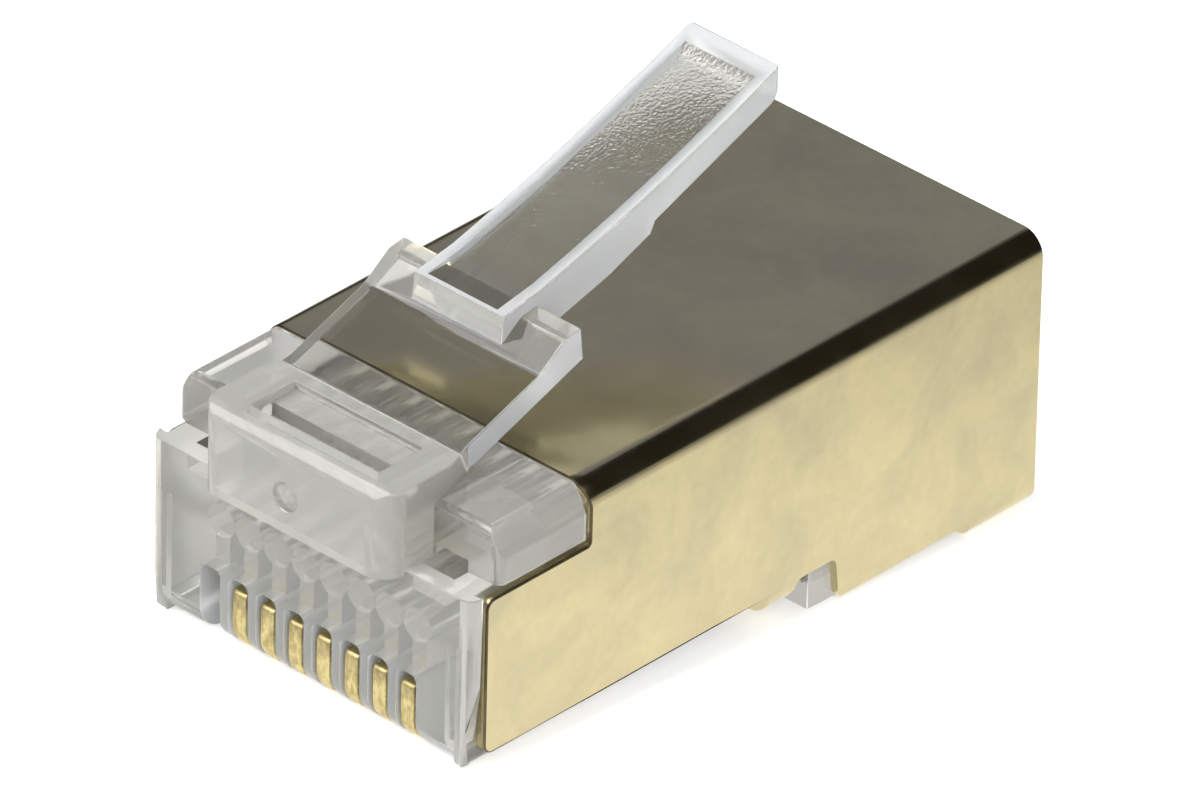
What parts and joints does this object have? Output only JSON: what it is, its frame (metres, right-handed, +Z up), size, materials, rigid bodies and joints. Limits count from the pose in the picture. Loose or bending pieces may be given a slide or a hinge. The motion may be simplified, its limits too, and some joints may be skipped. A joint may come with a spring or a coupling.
{
  "type": "rj45 modular plug",
  "caption": "Shielded modular data plug: clear housing with a flexing latch lever, folded metal shield with a cable strap, and blade contacts in comb slots.",
  "frame": {"origin": "centre of the overall box in plan, at the underside of the rear shield strap", "axes": "+X across the plug (positions 1 to 8 run from -X to +X), +Y towards the cable end, +Z up on the latch side; the nose faces -Y"},
  "size_m": [0.0116, 0.0228, 0.0144],
  "materials": {
    "clear_plastic": "gloss",
    "plated_sheet": "satin",
    "gold_contact": "satin"
  },
  "bodies": {
    "body": {"housing": "clear_plastic", "shield": "plated_sheet", "contact_2": "gold_contact", "contact_3": "gold_contact", "contact_4": "gold_contact", "contact_5": "gold_contact", "contact_6": "gold_contact", "contact_7": "gold_contact", "contact_8": "gold_contact"},
    "latch": {"latch": "clear_plastic"}
  },
  "joints": [
    {"name": "latch_flex", "type": "hinge", "parent": "body", "child": "latch", "pos_m": [0, -0.00767, 0.00862], "axis": [-1, 0, 0], "range_deg": [0, 16], "stiffness_Nm_per_rad": 0.15}
  ]
}
